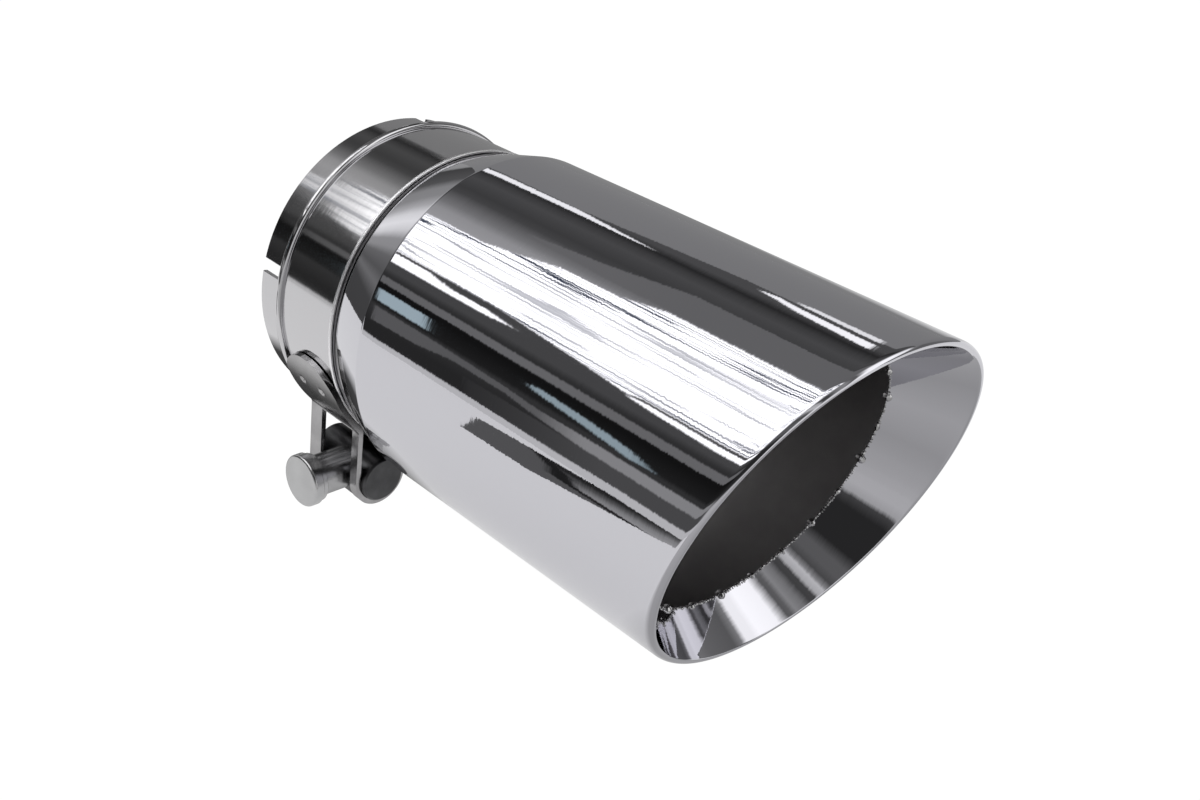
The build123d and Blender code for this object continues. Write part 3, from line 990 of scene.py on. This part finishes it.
# %% Geometry Nodes: thread
PITCH = 1.25 * MM
RIDGE = 0.42 * MM
CREST_INSET = 0.01 * MM
thread_tree = new_tree("thread", {"Pitch": "Float", "Length": "Float", "Radius": "Float", "Ridge": "Float"})
given = thread_tree.nodes["given"].outputs
turns = result_of(thread_tree, "DIVIDE", given["Length"], given["Pitch"])
winding = {"Resolution": 36, "Rotations": turns, "Height": given["Length"]}
winding.update({"Start Radius": given["Radius"], "End Radius": given["Radius"]})
spiral = add_node(thread_tree, "GeometryNodeCurveSpiral", winding).outputs["Curve"]
section = {"Resolution": 8, "Radius": given["Ridge"]}
ridge = add_node(thread_tree, "GeometryNodeCurvePrimitiveCircle", section).outputs["Curve"]
sweeping = {"Curve": spiral, "Profile Curve": ridge, "Fill Caps": True}
sweep = add_node(thread_tree, "GeometryNodeCurveToMesh", sweeping)
end_tree(thread_tree, sweep.outputs["Mesh"], hardware_finish)
values = {"Pitch": PITCH, "Ridge": RIDGE, "Radius": BOLT - RIDGE - CREST_INSET}
values["Length"] = BOLT_END - BOLT_POINT - RIDGE - THREAD_FROM
thread = run_tree(thread_tree, bpy.data.meshes.new("thread_seed"), values, hardware_finish, "bolt_thread")
thread.data.transform(bolt_frame @ Matrix.Translation((0, 0, THREAD_FROM)))
tidy_mesh(thread.data)
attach(thread, "tip")

# %% [markdown]
# ## Weld inside the lip
# The lip is welded to the liner by a run of small overlapping beads, with a larger drop here and there. The
# tree walks along the lip's end, puts a ball at even steps, and gives each its own size from a fixed seed.
# It runs twice with other numbers, once for the beads and once for the drops. The beads could be placed by
# hand, but a tree keeps their steps even.

# %% Geometry Nodes: weld beads
SEAM_STEPS = 240
SEAM_INSET = 0.3 * MM
LEAST_BEAD = (0.6, 0.5, 0.5)
LARGEST_BEAD = (1.4, 1.2, 1.2)
seam_points = []
for step in range(SEAM_STEPS):
    angle = 2 * math.pi * step / SEAM_STEPS
    x = OUTLET - LIP_DEPTH + LIP_BORE * math.tan(LIP_CUT) * math.cos(angle - LONG_SIDE)
    seam_points.append(round_tube(angle, LIP_BORE + SEAM_INSET, x))
seam_mesh = bpy.data.meshes.new("lip_seam")
seam_mesh.from_pydata(seam_points, [(step, (step + 1) % SEAM_STEPS) for step in range(SEAM_STEPS)], [])
bead_tree = new_tree("weld_beads", {"Spacing": "Float", "Bead": "Float", "Seed": "Int"})
given = bead_tree.nodes["given"].outputs
seam_curve = add_node(bead_tree, "GeometryNodeMeshToCurve", {"Mesh": given["Geometry"]}).outputs["Curve"]
walking = {"Curve": seam_curve, "Length": given["Spacing"]}
walk = add_node(bead_tree, "GeometryNodeResampleCurve", walking, mode="LENGTH").outputs["Curve"]
ball_size = {"Segments": 10, "Rings": 5, "Radius": given["Bead"]}
ball = add_node(bead_tree, "GeometryNodeMeshUVSphere", ball_size).outputs["Mesh"]
unevenness = {"Min": LEAST_BEAD, "Max": LARGEST_BEAD, "Seed": given["Seed"]}
uneven = add_node(bead_tree, "FunctionNodeRandomValue", unevenness, data_type="FLOAT_VECTOR").outputs["Value"]
copying = {"Points": walk, "Instance": ball, "Scale": uneven}
beads = add_node(bead_tree, "GeometryNodeInstanceOnPoints", copying)
end_tree(bead_tree, beads.outputs["Instances"], weld_finish)
weld_runs = [("lip_weld", 0.85 * MM, 0.55 * MM, 7), ("weld_drops", 11.5 * MM, 1.25 * MM, 4)]
for name, spacing, bead, seed in weld_runs:
    values = {"Spacing": spacing, "Bead": bead, "Seed": seed}
    weld = run_tree(bead_tree, seam_mesh.copy(), values, weld_finish, name)
    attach(weld, "tip")

# %% [markdown]
# ## Studio
# A mirror is only as good as what stands round it. The tip lies on a pale floor under a half-round tent,
# with panels that run along the tube: a bright softbox over the camera's shoulder, black flags beside it,
# greys and one thin bright gap behind. The camera itself does not see the tent, so the background is white.
# A picture of a real room could light the tip too, but plain panels can be moved until each reflection sits
# right.

# %% Floor
FLOOR_REACH = 6.0
FLOOR_DROP = 0.3 * MM
FLOOR_GREY = 0.9
FLOOR_ROUGHNESS = 0.9
BACKGROUND = 1.04
WHITE = (1.0, 1.0, 1.0)


def seen_directly(tree, camera_share, mirror_share):
    """Share of plain white for rays that show the background: from the camera and from metal or glass."""
    rays = add_node(tree, "ShaderNodeLightPath").outputs
    mirrored = result_of(tree, "ADD", rays["Is Glossy Ray"], rays["Is Transmission Ray"], clamp=True)
    scaled = result_of(tree, "MULTIPLY", mirrored, mirror_share)
    return result_of(tree, "MULTIPLY_ADD", rays["Is Camera Ray"], camera_share, scaled)


low = cad_low.z - FLOOR_DROP
floor_corners = [(x * FLOOR_REACH, y * FLOOR_REACH, low) for x, y in ((-1, -1), (1, -1), (1, 1), (-1, 1))]
floor_mesh = bpy.data.meshes.new("floor")
floor_mesh.from_pydata(floor_corners, [], [(0, 1, 2, 3)])
floor_paint = bpy.data.materials.new("pale_floor")
floor_paint.use_nodes = True
tree = floor_paint.node_tree
shader = tree.nodes["Principled BSDF"]
feed(tree, shader, {"Base Color": (FLOOR_GREY, FLOOR_GREY, FLOOR_GREY, 1.0), "Roughness": FLOOR_ROUGHNESS})
glow = add_node(tree, "ShaderNodeEmission", {"Color": (*WHITE, 1.0), "Strength": BACKGROUND})
blending = {"Fac": seen_directly(tree, 0.95, 0.55), 1: shader.outputs["BSDF"], 2: glow.outputs["Emission"]}
blend = add_node(tree, "ShaderNodeMixShader", blending)
feed(tree, tree.nodes["Material Output"], {"Surface": blend.outputs["Shader"]})
floor_mesh.materials.append(floor_paint)
floor = bpy.data.objects.new("floor", floor_mesh)
bpy.context.scene.collection.objects.link(floor)
print("floor at", round(low / MM, 2), "mm")

# %% [markdown]
# The world lights the room evenly. Rays that reach it from the camera or from a mirror see the white
# background instead.

# %% World
ROOM_LIGHT = 0.9
world = bpy.data.worlds.new("studio")
bpy.context.scene.world = world
world.use_nodes = True
tree = world.node_tree
levels = {"Value": seen_directly(tree, 1.0, 1.0), "To Min": ROOM_LIGHT, "To Max": BACKGROUND}
strength = add_node(tree, "ShaderNodeMapRange", levels).outputs["Result"]
feed(tree, tree.nodes["Background"], {"Color": (*WHITE, 1.0), "Strength": strength})
print("world: room light", ROOM_LIGHT, "and background", BACKGROUND)

# %% [markdown]
# The tent is a fine grid with a colour of light stored on its points. A table of greys by angle makes the
# wall. Angles are from straight up, negative on the camera's side. Past the outlet the tent has a wall of
# its own, which only the rim and the lip can see. Between its rows a table is read straight.

# %% Tent: walls
wall = [
    (-93, 0.03), (-79, 0.03), (-68, 0.05), (-66, 0.02), (-57, 0.01), (-55, 0.01), (-48, 0.05), (-45, 0.09),
    (-35, 0.09), (-5, 0.50), (2, 0.44), (7, 0.27), (12, 0.18), (17, 0.09), (22, 0.07), (32, 0.10), (37, 0.07),
    (41, 0.03), (46, 0.10), (93, 0.10),
]
outlet_wall = [
    (-93, 0.60), (-83, 0.62), (-77, 0.52), (-74, 0.08), (-67, 0.03), (-42, 0.03), (-34, 0.15), (-27, 0.15),
    (-21, 0.10), (-17, 0.35), (-15, 0.75), (-10.5, 0.60), (-8, 0.09), (-4, 0.08), (1, 0.26), (7, 0.36),
    (11, 0.17), (14, 0.15), (18, 0.75), (22, 1.5), (37, 1.6), (42, 1.4), (48, 1.4), (52, 0.3), (58, 0.15),
    (93, 0.22),
]


def read_table(table, place):
    """Values at a place in a table of (place, value, ...) rows, straight between rows."""
    if place <= table[0][0]:
        return table[0][1:]
    for before, after in zip(table, table[1:]):
        if place <= after[0]:
            share = (place - before[0]) / (after[0] - before[0])
            return tuple(first + (last - first) * share for first, last in zip(before[1:], after[1:]))
    return table[-1][1:]


print("tent walls:", len(wall), "and", len(outlet_wall), "greys")

# %% [markdown]
# The panels hang on the wall. Each has rows of place along the tube, lower and upper angle, and brightness.
# The softbox has a name of its own, because its creases need it too.

# %% Tent: panels
COOL = (0.80, 1.0, 1.08)
PANEL_EDGE = 0.5
softbox = [
    (-1.02, -25, -16, 1.0), (-0.90, -26, -13, 1.1), (-0.88, -35, -9, 1.2), (-0.84, -37, -5, 1.5),
    (-0.80, -33.5, -5, 2.2), (-0.64, -33.5, -5, 2.2), (-0.58, -33.5, -1, 2.2), (-0.53, -35, 3, 2.2),
    (-0.45, -37, 3.5, 2.2), (-0.39, -39, 8.5, 2.2), (-0.37, -37.5, 8.5, 2.2), (-0.28, -37.5, 8.5, 2.2),
    (0.3, -38, 9, 2.2),
]
panels = [
    (WHITE, [(-1.7, -93, -87, 0.72), (-0.78, -93, -87, 0.72), (-0.60, -93, -86.3, 0.72),
             (-0.45, -93, -86, 0.72), (-0.38, -93, -85, 0.72), (1.7, -93, -84, 0.72)]),
    (WHITE, [(-0.62, -86, -77, 0.04), (-0.50, -86, -76, 0.07), (-0.40, -85, -76, 0.10),
             (1.7, -84, -76, 0.10)]),
    (WHITE, [(-0.80, -77.5, -68.5, 0.15), (-0.70, -76, -68.3, 0.15), (-0.64, -72.5, -68.5, 0.15),
             (-0.55, -72.5, -69.3, 0.15), (-0.50, -74.5, -70.5, 0.16), (-0.43, -76, -70, 0.36),
             (1.7, -76, -71, 0.30)]),
    (COOL, [(-0.80, -65, -58, 0.62), (-0.685, -65, -57.8, 0.62)]),
    (COOL, [(-0.52, -62, -61.5, 0.5), (-0.50, -63, -60, 0.5), (-0.43, -65, -61, 0.5),
            (-0.37, -67.5, -63, 0.5), (-0.34, -67, -66, 0.3)]),
    (WHITE, [(-0.95, -54, -50, 0.12), (-0.80, -54, -50, 0.19), (-0.50, -54.5, -50, 0.21),
             (1.7, -56, -51, 0.19)]),
    (WHITE, [(-0.80, -40.5, -35.2, 2.0), (-0.70, -40.5, -35.2, 2.0), (-0.66, -40.5, -37.5, 2.0),
             (-0.60, -40.3, -37.3, 2.0), (-0.56, -39, -38.9, 2.0)]),
    (WHITE, [(-0.39, -40, -39.6, 2.0), (-0.36, -40.8, -38.8, 2.0), (-0.28, -42, -39.2, 2.0),
             (0.3, -43, -40, 2.0)]),
    (WHITE, softbox),
    (WHITE, [(-0.60, 12, 12.5, 0.20), (-0.48, 9.5, 18, 0.20), (-0.38, 9.5, 25, 0.19), (1.7, 9.5, 29, 0.17)]),
    (WHITE, [(-1.7, 47, 94, 0.28), (-0.58, 46, 94, 0.28), (-0.53, 47.5, 94, 0.28), (-0.45, 50.3, 94, 0.28),
             (-0.36, 52.8, 94, 0.28), (1.7, 53, 94, 0.28)]),
    (WHITE, [(-0.78, 40.8, 44.6, 1.35), (-0.66, 41.2, 45, 1.35), (-0.58, 41.8, 45.5, 1.35),
             (-0.535, 41.8, 44.2, 1.35), (-0.49, 41.7, 42.7, 1.35), (-0.465, 42.1, 42.2, 1.0)]),
    (WHITE, [(-0.335, 49.2, 50, 1.5), (-0.32, 48.7, 51.3, 1.5), (-0.285, 46.2, 50, 1.5),
             (-0.20, 44, 49, 1.5)]),
    (WHITE, [(-0.30, 53.5, 54, 1.2), (-0.285, 53, 55.5, 1.2), (-0.20, 52, 55.5, 1.2)]),
]


def cover(rows, x, angle):
    """How far a panel covers a point of the tent, from 0 to 1, and its brightness there."""
    if not rows[0][0] <= x <= rows[-1][0]:
        return 0.0, 0.0
    lower, upper, bright = read_table(rows, x)
    inside = min(angle - lower, upper - angle) / PANEL_EDGE + 0.5
    return max(0.0, min(1.0, inside)), bright


print("tent:", len(panels), "panels")

# %% [markdown]
# Wall and panels together give the light at every point of the grid, which is finest beside the tip. Each
# point also keeps its place on the cloth and how strongly the cloth is creased there.

# %% Tent: light on the grid
TENT = 0.9
TENT_EDGE = 93
ANGLE_STEP = 0.5
OUTLET_FROM = 0.25
OUTLET_BLEND = 0.15
SMOOTH_PLACE = 0.4
SMOOTH_SHARE = 0.6


def tent_light(x, angle):
    """Colour of light at a point of the tent: the wall, then the panels over it, then the outlet's wall."""
    level = read_table(wall, angle)[0]
    light = [level, level, level]
    for tint, rows in panels:
        share, bright = cover(rows, x, angle)
        light = [old + (bright * channel - old) * share for old, channel in zip(light, tint)]
    beyond = max(0.0, min(1.0, (x - OUTLET_FROM) / OUTLET_BLEND))
    level = read_table(outlet_wall, angle)[0]
    return [old + (level - old) * beyond for old in light]


def crease_share(x, angle):
    """How strongly the softbox is creased at a point: most near its long edges, least near its middle."""
    lower, upper, _ = read_table(softbox, x)
    apart = abs((angle - lower) / (upper - lower) - SMOOTH_PLACE) / SMOOTH_PLACE
    return cover(softbox, x, angle)[0] * max(SMOOTH_SHARE, min(1.0, apart))


def grid_faces(rows, columns):
    """Faces of a grid of points that are listed row by row."""
    starts = [row * columns + step for row in range(rows - 1) for step in range(columns - 1)]
    return [(first, first + 1, first + columns + 1, first + columns) for first in starts]


rows_round = [-TENT_EDGE + ANGLE_STEP * step for step in range(round(2 * TENT_EDGE / ANGLE_STEP) + 1)]
columns_along = [-1.7 + 0.1 * step for step in range(6)] + [-1.1 + 0.01 * step for step in range(100)]
columns_along += [-0.1 + 0.1 * step for step in range(19)]
tent_points, light, pattern = [], [], []
for angle in rows_round:
    for x in columns_along:
        tent_points.append(tuple(round_tube(math.radians(angle), TENT) + Vector((x, 0, low))))
        light += [*tent_light(x, angle), 1.0]
        pattern += [x, math.radians(angle) * TENT, crease_share(x, angle)]
tent_faces = grid_faces(len(rows_round), len(columns_along))
print("tent:", len(tent_faces), "faces")

# %% [markdown]
# Tent and cards only glow. Their material is an Emission shader that takes its colour from the points, and
# the camera does not see them, only the metal does.

# %% Helpers for glowing pieces


def glow_material(name):
    """A material that only glows, with a colour stored on the points. Its alpha fades the glow out."""
    material = bpy.data.materials.new(name)
    material.use_nodes = True
    tree = material.node_tree
    tree.nodes.remove(tree.nodes["Principled BSDF"])
    stored = add_node(tree, "ShaderNodeAttribute", attribute_name="light").outputs
    glow = add_node(tree, "ShaderNodeEmission", {"Color": stored["Color"]})
    clear = add_node(tree, "ShaderNodeBsdfTransparent").outputs["BSDF"]
    fading = {"Fac": stored["Alpha"], 1: clear, 2: glow.outputs["Emission"]}
    fade = add_node(tree, "ShaderNodeMixShader", fading)
    feed(tree, tree.nodes["Material Output"], {"Surface": fade.outputs["Shader"]})
    return material, tree, stored["Color"], glow


def add_stage(name, points, faces, colors, material, shadow=True):
    """A piece of the studio that glows with its points' colours. The camera itself does not see it."""
    mesh = bpy.data.meshes.new(name)
    mesh.from_pydata(points, [], faces)
    mesh.attributes.new("light", "FLOAT_COLOR", "POINT").data.foreach_set("color", colors)
    mesh.materials.append(material)
    thing = bpy.data.objects.new(name, mesh)
    bpy.context.scene.collection.objects.link(thing)
    thing.visible_camera = False
    thing.visible_diffuse = False
    thing.visible_shadow = shadow
    return mesh


# %% [markdown]
# The softbox's cloth is creased, and the mirror shows the creases as dark wavy lines along the tube. They
# are where a stretched noise crosses its middle value. Folds could be modelled in the cloth, but lines in
# its light are simpler to place.

# %% Tent: creases
CREASE_STRETCH = (2.0, 32.0, 0.0)
CREASE_CORE = 0.027
CREASE_EDGE = 0.044
CREASE_COLOR = (0.04, 0.06, 0.10, 1.0)
tent_paint, tree, stored, glow = glow_material("tent_panels")
place = add_node(tree, "ShaderNodeAttribute", attribute_name="pattern").outputs["Vector"]
strongly = add_node(tree, "ShaderNodeSeparateXYZ", {"Vector": place}).outputs["Z"]
stretched = add_node(tree, "ShaderNodeMapping", {"Vector": place, "Scale": CREASE_STRETCH}).outputs["Vector"]
wandering = {"Vector": stretched, "Scale": 1.0, "Detail": 1.0}
wander = add_node(tree, "ShaderNodeTexNoise", wandering).outputs["Fac"]
apart = result_of(tree, "ABSOLUTE", result_of(tree, "SUBTRACT", wander, 0.5))
fall = {"Value": apart, "From Min": CREASE_CORE, "From Max": CREASE_EDGE, "To Min": 1.0, "To Max": 0.0}
line = add_node(tree, "ShaderNodeMapRange", fall).outputs["Result"]
darkening = {"A": stored, "B": CREASE_COLOR, "Factor": result_of(tree, "MULTIPLY", line, strongly)}
darken = add_node(tree, "ShaderNodeMix", darkening, data_type="RGBA")
feed(tree, glow, {"Color": darken.outputs["Result"]})
tent_mesh = add_stage("tent", tent_points, tent_faces, light, tent_paint)
tent_mesh.attributes.new("pattern", "FLOAT_VECTOR", "POINT").data.foreach_set("vector", pattern)
print("tent glows through", len(tree.nodes), "nodes")

# %% [markdown]
# A round card beyond the inlet gives the shoulder something to reflect. Its greys change by angle.

# %% Card beyond the inlet
END_CARD = -0.45
END_REACH = 0.33
end_greys = [
    (-180, 0.06), (-85, 0.08), (-69, 0.22), (-57, 0.13), (-40, 0.20), (-31, 0.40), (-20, 0.42), (-9, 0.95),
    (2, 1.15), (12, 1.0), (22, 0.6), (34, 0.36), (46, 0.33), (56, 0.12), (76, 0.07), (79, 0.36), (92, 0.36),
    (98, 0.15), (180, 0.06),
]
end_turns = list(range(-180, 181, 2))
card_points, card_light = [], []
for reach in (0.02 * END_REACH, 1.0 * END_REACH):
    for turn in end_turns:
        card_points.append(tuple(round_tube(math.radians(turn), reach, END_CARD)))
        level = read_table(end_greys, turn)[0]
        card_light += [level, level, level, 1.0]
add_stage("end_card", card_points, grid_faces(2, len(end_turns)), card_light, glow_material("end_card")[0])
print("end card:", len(card_points), "points")

# %% [markdown]
# Four cards just over the floor do the same for the belly, the far side, the clamp and the lip. Their
# numbers are millimetres, and each point has a grey and an alpha.

# %% Floor cards: belly and far side
FLOOR_LIFT = 1.0 * MM
FAR_GREY = 0.27


def floor_card(name, points, faces, greys):
    """A card just over the floor, with a grey and an alpha for each point. It throws no shadow."""
    places = [(x * MM, y * MM, low + FLOOR_LIFT) for x, y in points]
    colors = [channel for grey, alpha in greys for channel in (grey, grey, grey, alpha)]
    add_stage(name, places, faces, colors, glow_material(name)[0], shadow=False)


flag_ends = [
    ((-265, -497), (-420, -1000), 0.02), ((-200, -410), (-330, -1000), 0.03),
    ((-135, -325), (-240, -1000), 0.12), ((-75, -242), (-150, -1000), 0.33),
    ((-35, -250), (-60, -1000), 0.45),
]
flag_shares = [(0.0, 0.13), (0.36, 0.13), (0.40, 0.02), (0.46, 0.02), (0.50, None), (1.0, None)]
flag, flag_greys = [], []
for (near_x, near_y), (far_x, far_y), grey in flag_ends:
    for share, level in flag_shares:
        y = 1 / ((1 - share) / near_y + share / far_y)
        flag.append((near_x + (far_x - near_x) * (y - near_y) / (far_y - near_y), y))
        flag_greys.append((grey if level is None else level, 1.0))
floor_card("floor_flag", flag, grid_faces(len(flag_ends), len(flag_shares)), flag_greys)

far_side = [(x, y) for y in (75, 95, 890) for x in (-1500, -60, 140)]
far_greys = [(FAR_GREY, alpha) for alpha in (0.0, 0.0, 0.0, 1.0, 1.0, 0.0, 1.0, 1.0, 0.0)]
floor_card("far_floor", far_side, grid_faces(3, 3), far_greys)
print("floor cards:", len(flag), "and", len(far_side), "points")

# %% [markdown]
# The card under the clamp is a dark oval that fades out at its edge, a painted shadow of the tip on the floor
# that only the metal sees. The one past the outlet lies in front of the lip, in greys that change from near
# to far.

# %% Floor cards: clamp and lip
# A painted shadow: the dark oval stands in for the tip's shadow on the floor under the clamp.
UNDER_MIDDLE = -45
UNDER_REACH = (95, 80)
UNDER_STEPS = 36
UNDER_SHADOW_GREY = 0.03
under, under_greys = [], []
for share, alpha in ((0.1, 1.0), (0.7, 0.95), (1.0, 0.0)):
    for step in range(UNDER_STEPS):
        turn = math.radians(360 / UNDER_STEPS * step)
        x = UNDER_MIDDLE + UNDER_REACH[0] * share * math.cos(turn)
        under.append((x, UNDER_REACH[1] * share * math.sin(turn)))
        under_greys.append((UNDER_SHADOW_GREY, alpha))
under_faces = [tuple(range(UNDER_STEPS))] + loop_faces(3, UNDER_STEPS)
floor_card("painted_shadow_under_clamp", under, under_faces, under_greys)

ahead_rows = [(85, 0.50), (35, 0.42), (0, 0.52), (-45, 0.44), (-110, 0.50), (-300, 0.56), (-895, 0.60)]
ahead = [(x, y) for y, _ in ahead_rows for x in (120, 150, 900)]
ahead_greys = [(grey, alpha) for _, grey in ahead_rows for alpha in (0.0, 1.0, 1.0)]
floor_card("outlet_floor", ahead, grid_faces(len(ahead_rows), 3), ahead_greys)
print("stage pieces: floor, tent, end_card, floor_flag, far_floor, painted_shadow_under_clamp, outlet_floor")

# %% [markdown]
# ## Camera
# The camera stands where the photograph was taken from, found by fitting the tube's outline. The view
# transform is Standard, so greys come out as they are written.

# %% Camera
SENSOR = 36.0
LENS = 37.724
NEAR_LIMIT = 0.01
CAMERA_PLACE = Vector((0.28845, -0.19807, 0.20122))
right = Vector((0.71214, 0.70204, 0.0)).normalized()
forward = Vector((-0.56332, 0.57157, -0.59664)).normalized()
up = right.cross(forward)
camera_data = bpy.data.cameras.new("photo_camera")
camera_data.sensor_fit = "HORIZONTAL"
camera_data.sensor_width = SENSOR
camera_data.lens = LENS
camera_data.clip_start = NEAR_LIMIT
camera = bpy.data.objects.new("photo_camera", camera_data)
camera.matrix_world = Matrix((
    (right.x, up.x, -forward.x, CAMERA_PLACE.x),
    (right.y, up.y, -forward.y, CAMERA_PLACE.y),
    (right.z, up.z, -forward.z, CAMERA_PLACE.z),
    (0, 0, 0, 1),
))
bpy.context.scene.collection.objects.link(camera)
bpy.context.scene.camera = camera
bpy.context.scene.view_settings.view_transform = "Standard"
print("camera", round(math.degrees(2 * math.atan(SENSOR / 2 / LENS)), 1), "degrees wide")
